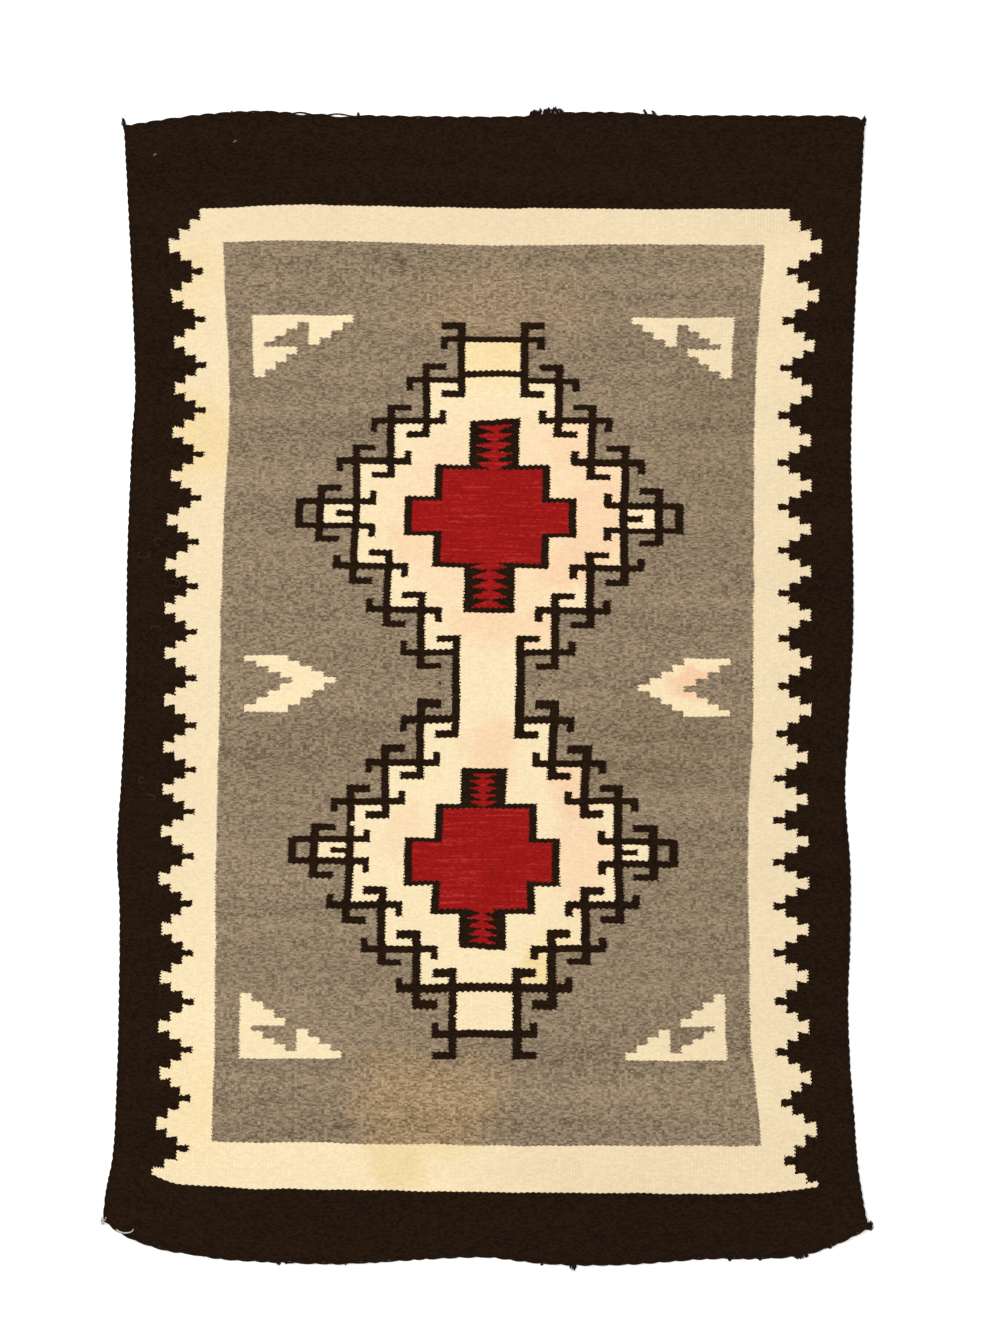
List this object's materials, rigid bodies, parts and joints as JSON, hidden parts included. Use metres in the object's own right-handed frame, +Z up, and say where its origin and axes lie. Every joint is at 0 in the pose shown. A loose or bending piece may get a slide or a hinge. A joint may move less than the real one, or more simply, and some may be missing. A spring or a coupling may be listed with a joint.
{
  "type": "navajo rug, hand-woven wool tapestry with two hooked diamonds",
  "caption": "Hand-woven wool rug lying flat, with a serrated border, hooked diamonds, crosses, twisted edge cords and corner tassels.",
  "frame": {"origin": "on the floor, under the middle of the rug's bounding box", "axes": "+X across the rug to the picture's right, +Y along its length to the picture's top, +Z up out of its face"},
  "size_m": [1.0424, 1.5686, 0.0114],
  "materials": {
    "woven_wool": "matte weft-faced wool in grey, cream, red and dark brown",
    "dark_yarn": "matte twisted dark brown wool",
    "pale_yarn": "matte pale wool with dark fibres"
  },
  "bodies": {
    "root": {"woven_body": "woven_wool", "end_cord_top": "dark_yarn", "end_cord_bottom": "dark_yarn", "selvage_cord_left": "dark_yarn", "selvage_cord_right": "dark_yarn", "corner_tassel_top_left": "dark_yarn", "corner_tassel_top_right": "dark_yarn", "corner_tassel_bottom_left": "pale_yarn", "corner_tassel_bottom_right": "dark_yarn"}
  },
  "joints": []
}
